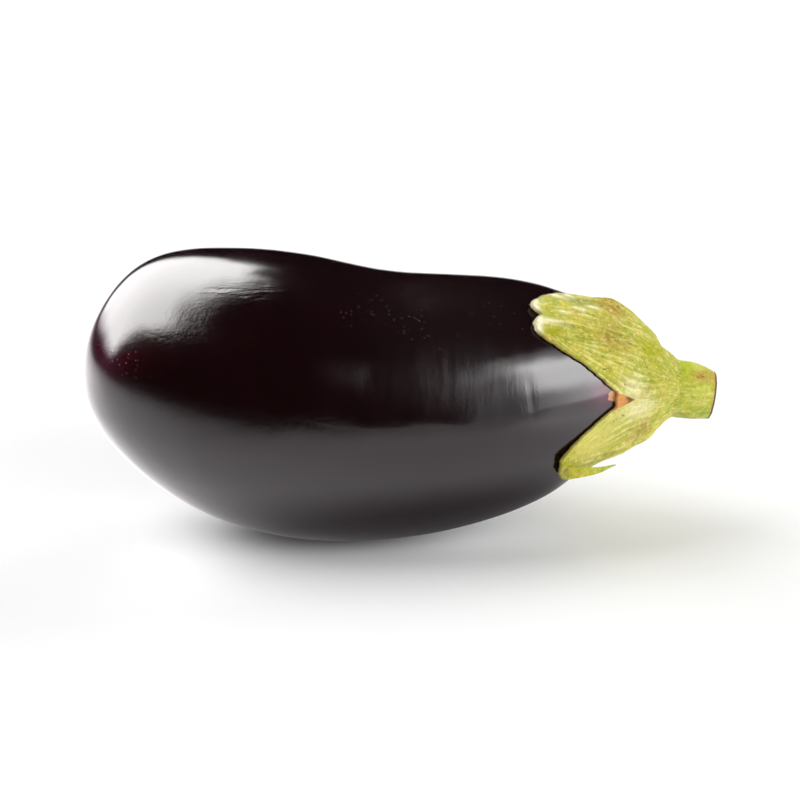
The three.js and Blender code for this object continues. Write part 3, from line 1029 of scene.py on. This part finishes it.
def stem_green():
    made, nodes, place = new_material("stem green")
    x, _, z = xyz = nodes.split(place)
    cut = nodes.kept("cut")
    streaks = nodes.noise(place, (150, 620, 620), 4, 0.65)
    clouds = nodes.noise(place, 190, 3, 0.6)
    spots = nodes.noise(place, 520)
    grain = nodes.noise(place, 1300, 2, 0.6)
    above = z.step(0.053, 0.059) * x.step(0.119, 0.112)
    below = z.step(0.049, 0.043)
    scar = nodes.near(xyz, *STEM_SCAR)
    dried = (scar + x.step(0.119, 0.1225) * 0.8).clamp()
    patchy = 0.35 + (clouds + grain * 0.4).step(0.5, 0.75) * 0.65
    pith = nodes.layers(STEM_PITH, ((grain + spots * 0.5).step(0.6, 0.9), STEM_TAN))
    hue = nodes.layers(
        flecked(nodes, place, fresh_green(nodes, place, streaks)),
        (0.35, STEM_GREEN),
        (above * (0.5 + clouds * 0.6), STEM_LIME),
        ((spots + below * 0.09).step(0.54, 0.72) * 0.45, STEM_DARK),
        (dried * patchy, STEM_TAN),
        ((scar + (grain - 0.5) * 1.8).step(0.9, 1.2) * 0.6, STEM_BROWN),
        (cut.step(0.25, 0.5), STEM_BROWN),
        (cut.step(1.03, 1.1), pith),
    )
    nodes.feed(
        Base_Color=hue,
        Roughness=0.48 + grain * 0.25,
        Normal=nodes.relief(streaks * 0.8 + grain * 0.5, STEM_RELIEF),
        **FLESHY,
    )
    return made


# ---- Hairs ----

HAIR_SIZES = {
    "Density": 0.5e6,
    "Hair Length": 0.9 * MM,
    "Hair Radius": 0.035 * MM,
    "Lean": 0.7,
    "Seed": 7,
}
LEAN_SEEDS = (11, 23)
SIZE_SEED = 5
SMALLEST_HAIR = 0.45
# Each down, and the stored number of its ground that is below a limit where it grows.
DOWNS = [("sepal_down", "latitude", 149), ("stem_down", "cut", 0.3)]


def pale_hair():
    made, nodes, place = new_material("pale hair")
    tint = nodes.noise(place, 300, 1)
    hue = nodes.layers(colour(224, 220, 170), (tint, colour(240, 238, 216)))
    nodes.feed(Base_Color=hue, Roughness=0.55)
    return made


def hair_tree(material):
    """Short tapering hairs scattered over a mesh, leaning a little at random."""
    nodes, sizes = new_tree("sepal hairs", HAIR_SIZES)

    def chance(low, high, seed):
        sockets = {"Min": low, "Max": high, "Seed": seed}
        return nodes.node("FunctionNodeRandomValue", sockets, "Value")

    sockets = {
        "Mesh": sizes["Geometry"],
        "Selection": kept_field(nodes, "hairy"),
        "Density": sizes["Density"],
        "Seed": sizes["Seed"],
    }
    scatter = nodes.node("GeometryNodeDistributePointsOnFaces", sockets).socket.node
    sockets = {
        "Vertices": 3,
        "Side Segments": 2,
        "Radius Bottom": sizes["Hair Radius"],
        "Depth": sizes["Hair Length"],
    }
    hair = nodes.node("GeometryNodeMeshCone", sockets)
    lean = sizes["Lean"]
    tilt = [chance(lean * -1, lean, seed) for seed in LEAN_SEEDS]
    turn = nodes.node("FunctionNodeEulerToRotation", {0: nodes.join(*tilt, 0.0)})
    sockets = {"Rotation": Wire(nodes, scatter.outputs["Rotation"]), "Rotate By": turn}
    turned = nodes.node("FunctionNodeRotateRotation", sockets, rotation_space="LOCAL")
    size = chance(SMALLEST_HAIR, 1.0, SIZE_SEED)
    sockets = {
        "Points": Wire(nodes, scatter.outputs["Points"]),
        "Instance": hair,
        "Rotation": turned,
        "Scale": nodes.join(size, size, size),
    }
    finish_tree(nodes, nodes.node("GeometryNodeInstanceOnPoints", sockets), material)
    return nodes


def make_hairs(*sources):
    """Fine down over the calyx's outside and the stem."""
    material = pale_hair()
    pieces = []
    for source, (name, bound, limit) in zip(sources, DOWNS):
        ground = source.data.copy()
        values = np.zeros(len(ground.vertices), np.float32)
        ground.attributes[bound].data.foreach_get("value", values)
        store(ground, "hairy", values < limit)
        pieces.append(grow(name, ground, hair_tree(material), HAIR_SIZES))
    return pieces


# ---- Stage ----

CAMERA_TARGET = (17.83, 0, 46.15)
CAMERA_DISTANCE = 740.7
CAMERA_ELEVATION = 18
CAMERA_LENS = 100

TABLE_DROP = -0.1 * MM
TABLE_CORNERS = [(-4, -1.1), (4, -1.1), (4, 4), (-4, 4)]
TABLE_PALE = (0.9, 0.9, 0.9, 1)
TABLE_PAINTED_SHADE = (0.1, 0.1, 0.1, 1)
# Painted shade under the fruit and painted pools of light that lift the table's shadows: the
# centre and the reach in millimetres, and the strength.
PAINTED_SHADE_UNDER_FRUIT = ((-8, 0), (36, 20))
TABLE_PAINTED_LIGHT = [
    ((10, -30), (90, 90), 0.12), ((-50, -20), (20, 30), 0.19),
    ((-52, 10), (30, 30), 0.13), ((40, -8), (25, 14), 0.14),
]
# The light that falls on the table and the fruit: where from, how high, how strong.
LAMPS = [
    ("left light", 180, 50, 1.56),
    ("near left light", 225, 50, 0.28),
    ("front light", 270, 25, 0.8),
    ("near right light", 315, 22, 1.2),
    ("right light", 0, 22, 0.4),
    ("far right light", 45, 27, 1.25),
    ("far left light", 135, 22, 1.0),
    ("high far left light", 135, 50, 0.4),
    ("top light", 0, 90, 0.2),
]
LAMP_SPREAD = 45  # degrees

# The cards that only the skin mirrors: their corners, in metres on each card.
LEFT_BOX = [
    (-0.64, -1.0), (-0.2, -0.95), (0.25, -0.76), (1.0, -0.74), (1.0, 0.6), (0.85, 0.75),
    (0.0, 0.72), (-0.4, 0.64), (-0.76, 0.5), (-0.76, 0.0),
]
RIGHT_BOX = [(-0.5, -0.95), (0.5, -0.95), (0.5, 0.33), (-0.5, 0.33)]
MIRRORED_TABLE = [(-1.6, -3.2), (2.5, -3.2), (2.5, 1.6), (-1.6, 1.6)]
BOX_DISTANCE = 0.9
WORLD_WHITE = 0.98
WORLD_DIM = 0.004


def make_camera():
    data = bpy.data.cameras.new("camera")
    data.lens = CAMERA_LENS
    camera = place_object("camera", data)
    tilt = math.radians(CAMERA_ELEVATION)
    back = Vector((0, -math.cos(tilt), math.sin(tilt)))
    camera.location = (Vector(CAMERA_TARGET) + back * CAMERA_DISTANCE) * MM
    camera.rotation_euler = (math.pi / 2 - tilt, 0, 0)
    bpy.context.scene.camera = camera


def make_floor():
    """A pale table with painted shade right under the fruit and painted glow that lifts its
    shadows, which the skin doesn't mirror.
    """
    made, nodes, place = new_material("pale table")
    xyz = nodes.split(place)
    # Painted shade: the table's colour is darkened right under the fruit, as a contact shadow.
    under = nodes.near(xyz, *PAINTED_SHADE_UNDER_FRUIT)
    # Painted light: the table itself glows in a few pools, which lighten its shadows.
    glow = nodes.spots(xyz, TABLE_PAINTED_LIGHT) * (1 - under)
    nodes.feed(
        Base_Color=nodes.layers(TABLE_PALE, (under * 0.75, TABLE_PAINTED_SHADE)),
        Roughness=0.9,
        Specular_IOR_Level=0.0,
        Emission_Color=nodes.layers((0, 0, 0, 1), (glow, (1, 1, 1, 1))),
        Emission_Strength=1.0,
    )
    floor = flat_piece("table", TABLE_CORNERS, made)
    floor.location.z = TABLE_DROP
    floor.visible_glossy = False


def flat_piece(name, corners, material):
    """A flat face of the stage from its corners in metres."""
    points = [(x / MM, y / MM, 0) for x, y in corners]
    made = mesh_object(name, points, [tuple(range(len(corners)))], material)
    return made


def make_lamp(name, azimuth, height, strength):
    """Soft light from a direction in degrees, which shiny skin doesn't mirror."""
    data = bpy.data.lights.new(name, "SUN")
    data.energy = strength
    data.angle = math.radians(LAMP_SPREAD)
    lamp = place_object(name, data)
    turn, rise = math.radians(azimuth), math.radians(height)
    flat = math.cos(rise)
    towards = Vector((math.cos(turn) * flat, math.sin(turn) * flat, math.sin(rise)))
    lamp.rotation_euler = towards.to_track_quat("Z", "Y").to_euler()
    lamp.visible_glossy = False


def make_card(name, corners, glow, tint=(1, 1, 1, 1)):
    """A card that is seen only as a reflection. Glow gives its light at a place on it."""
    made, nodes, place = new_material(name)
    made.cycles.emission_sampling = "NONE"
    u, v, _ = nodes.split(place)
    sockets = {"Color": tint, "Strength": glow(u, v)}
    nodes.feed("Material Output", Surface=nodes.node("ShaderNodeEmission", sockets))
    card = flat_piece(name, corners, made)
    card.visible_camera = card.visible_diffuse = card.visible_shadow = False
    return card


def face_inwards(card, facing):
    """Stands a card square to a direction from the fruit."""
    towards = Vector(facing).normalized()
    side = Vector((0, 0, 1)).cross(towards).normalized()
    card.location = towards * BOX_DISTANCE
    card.rotation_euler = Matrix((side, towards.cross(side), towards)).transposed().to_euler()


def left_box_light(u, v):
    """Even light that dims towards its near lower corner and fades at its sides."""
    corner = (0.2 - u - v).clamp()
    right = u - v.step(0.1, 0.35) * 0.12
    left = u + v.step(0.45, 0.25) * 0.2 - (v - 0.5).clamp() * 1.2
    across = left.step(-0.46, -0.3) * right.step(0.95, 0.58)
    top = (v - u * 0.05 + (u * -1).clamp() * 0.05).step(0.72, 0.4)
    bottom = (v + (0.2 - u).clamp() * 0.4).step(-0.72, -0.44)
    return 10.4 * (1 - corner * 0.62) * across * top * bottom


def right_box_light(u, v):
    """A small bright box, brighter to the right below, with a dim one round it."""
    right = u.clamp()
    bright = (v + right * 0.25).step(-0.42, -0.18)
    box = (1.6 + 6 * bright + right * 7 * (1 - bright)) * v.step(0.17, 0.03)
    veil = 0.6 + 0.95 * v.step(-0.08, 0.06)
    left = u - v.clamp() * 0.55 + (v * -1).clamp() * 0.2
    inside = left.step(-0.355, -0.25) * v.step(0.28, 0.16)
    return box * u.step(-0.2, 0.02) + veil * inside


def table_light(x, y):
    """The mirrored table: a pool of light, a dimmer part at the right, and the fruit's shade."""
    nodes = x.nodes
    along = (x + 0.25) * -0.86 + (y - 0.08) * 0.5
    across = (x + 0.25) * 0.5 + (y - 0.12) * 0.86
    pool = nodes.near((along, across), (0, 0), (360, 220))
    right = (x + nodes.math("MAXIMUM", y, -0.75) * 0.25).step(-0.15, -0.01)
    right = right * y.step(-3.2, -1.0)
    far_right = (x + y).step(-0.1, 0.05) * x.step(0.1, 0.2)
    contact = nodes.near((x, y), (20, 5), (80, 50))
    halo = nodes.near((x, y), (30, -90), (130, 130))
    off_x = (x - 0.02) * (1 / 1.3)
    off_y = y - 0.005
    off = nodes.math("SQRT", off_x * off_x + off_y * off_y)
    near_fruit = 1 - off.step(0.074, 0.038) * 0.73
    shade = (1 - contact * 0.85) * (1 - halo * 0.38) * near_fruit
    return (0.03 + 2.5 * pool + 0.72 * right + 0.85 * far_right) * shade


def make_world():
    """White where the camera looks past the table, and next to nothing elsewhere."""
    world = bpy.data.worlds.new("studio")
    world.use_nodes = True
    nodes = Nodes(world.node_tree)
    seen = nodes.node("ShaderNodeLightPath", output="Is Camera Ray")
    strength = seen * (WORLD_WHITE - WORLD_DIM) + WORLD_DIM
    nodes.feed("Background", Color=(1, 1, 1, 1), Strength=strength)
    bpy.context.scene.world = world


def make_studio():
    make_camera()
    make_floor()
    make_world()
    for lamp in LAMPS:
        make_lamp(*lamp)
    left = make_card("left softbox", LEFT_BOX, left_box_light, (1, 0.98, 0.98, 1))
    right = make_card("right softbox", RIGHT_BOX, right_box_light)
    face_inwards(left, (-0.55, 0.4, 0.7))
    face_inwards(right, (0.55, -0.6, 0.58))
    mirrored = make_card("mirrored table", MIRRORED_TABLE, table_light, (1, 0.965, 0.985, 1))
    mirrored.location.z = TABLE_DROP
    bpy.context.scene.view_settings.view_transform = "Standard"


# ---- The scene ----


def dress(piece, slot, *nodes):
    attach(piece, "root")
    if nodes:
        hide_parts(*nodes)


make_studio()
skin = make_skin()
sepals = make_sepals()
stem = make_stem()
downs = make_hairs(sepals, stem)
dress(skin, "skin", "fruit")
dress(sepals, "sepal", "calyx")
dress(stem, "stem", "stem")
dress(downs[0], "sepal")
dress(downs[1], "stem")
